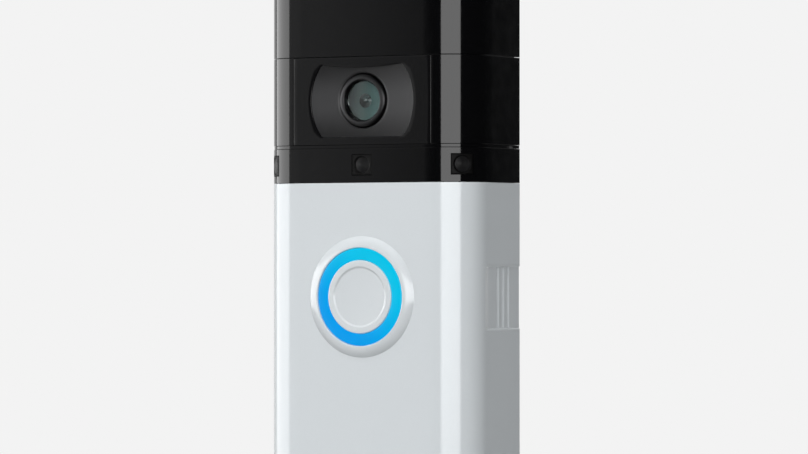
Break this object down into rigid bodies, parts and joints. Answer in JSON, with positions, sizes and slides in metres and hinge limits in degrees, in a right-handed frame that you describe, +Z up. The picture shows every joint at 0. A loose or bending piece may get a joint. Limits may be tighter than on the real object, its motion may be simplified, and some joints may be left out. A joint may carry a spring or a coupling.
{
  "type": "video doorbell",
  "caption": "Upright battery doorbell with a camera window above, a lit round push button below, side sound slots, and a flat back with wall-screw holes and wire terminals.",
  "frame": {"origin": "centre of the flat back face that lies on the wall", "axes": "+X to the right of someone who faces the doorbell, +Y into the wall, +Z up"},
  "size_m": [0.062, 0.0291, 0.1296],
  "materials": {
    "satin_silver_paint": "satin silver paint over moulded plastic",
    "gloss_black_plastic": "polished piano black",
    "fine_black_plastic": "fine satin texture",
    "smoky_plastic": "smoky moulded dish",
    "lens_hdpe": "milky dark infrared lens",
    "housing_plastic": "fine spark texture",
    "rubber_black": "soft moulded rubber",
    "button_silver": "satin silver paint over moulded plastic",
    "light_guide": "translucent light guide, lit blue",
    "lens_ring_metal": "turned and satin anodised",
    "optical_glass": "coated optical glass",
    "barrel_black": "flat black",
    "circuit_board": "green solder mask",
    "chip_black": "moulded epoxy",
    "tinned_steel": "tinned sheet",
    "screw_steel": "plated steel",
    "terminal_brass": "bright brass",
    "battery_plastic": "fine matt texture",
    "cell_sleeve": "shrink sleeve",
    "led_white": "small white packages",
    "switch_grey": "moulded plunger",
    "setup_orange": "moulded orange plastic",
    "ribbon_amber": "amber film",
    "coil_copper": "enamelled copper",
    "cone_paper": "pressed film",
    "magnet_nickel": "nickel plated"
  },
  "bodies": {
    "housing": {"antenna": "coil_copper", "battery_bay": "housing_plastic", "battery_case": "battery_plastic", "battery_cells": "cell_sleeve", "battery_lid": "battery_plastic", "battery_pads": "terminal_brass", "board_chips": "chip_black", "board_connectors": "chip_black", "board_screws": "screw_steel", "board_switches": "chip_black", "button_board": "circuit_board", "button_ribbon": "ribbon_amber", "button_wiper": "rubber_black", "camera_bracket": "housing_plastic", "camera_cover": "gloss_black_plastic", "camera_holder": "housing_plastic", "camera_panel": "fine_black_plastic", "camera_ribbon": "ribbon_amber", "case_screws": "screw_steel", "contact_pins": "terminal_brass", "faceplate": "satin_silver_paint", "filter_coil": "coil_copper", "front_housing": "housing_plastic", "housing_seal": "rubber_black", "image_sensor": "chip_black", "infrared_board": "circuit_board", "infrared_lamps": "led_white", "lens_barrel": "barrel_black", "lens_glasses": "optical_glass", "lens_ring": "lens_ring_metal", "lens_surround": "smoky_plastic", "light_ring": "light_guide", "main_board": "circuit_board", "microphone": "tinned_steel", "microphone_board": "circuit_board", "motion_boards": "circuit_board", "motion_lenses": "lens_hdpe", "motion_sensors": "tinned_steel", "motion_windows": "fine_black_plastic", "rear_housing": "housing_plastic", "ring_leds": "led_white", "security_screw": "screw_steel", "sensor_board": "circuit_board", "sensor_cover": "gloss_black_plastic", "shield_cans": "tinned_steel", "speaker_cone": "cone_paper", "speaker_frame": "housing_plastic", "speaker_gasket": "rubber_black", "speaker_magnet": "magnet_nickel", "speaker_mesh": "tinned_steel", "terminal_plates": "terminal_brass", "terminal_screws": "terminal_brass", "top_cover": "gloss_black_plastic", "trim_band": "gloss_black_plastic"},
    "button": {"button_cap": "button_silver", "switch_stem": "switch_grey"},
    "setup": {"setup_button": "setup_orange"},
    "latch": {"battery_latch": "battery_plastic"},
    "filter": {"filter_slider": "barrel_black", "filter_panes": "optical_glass"}
  },
  "joints": [
    {"name": "button_press", "type": "slide", "parent": "housing", "child": "button", "axis": [0, 1, 0], "range_m": [0, 0.0006], "stiffness_N_per_m": 400, "springref_m": -0.002},
    {"name": "setup_press", "type": "slide", "parent": "housing", "child": "setup", "axis": [0, 1, 0], "range_m": [0, 0.00025], "stiffness_N_per_m": 600, "springref_m": -0.001},
    {"name": "battery_latch_slide", "type": "slide", "parent": "housing", "child": "latch", "axis": [0, -1, 0], "range_m": [0, 0.001], "stiffness_N_per_m": 500, "springref_m": -0.001},
    {"name": "infrared_filter_slide", "type": "slide", "parent": "housing", "child": "filter", "axis": [1, 0, 0], "range_m": [0, 0.0062]}
  ]
}
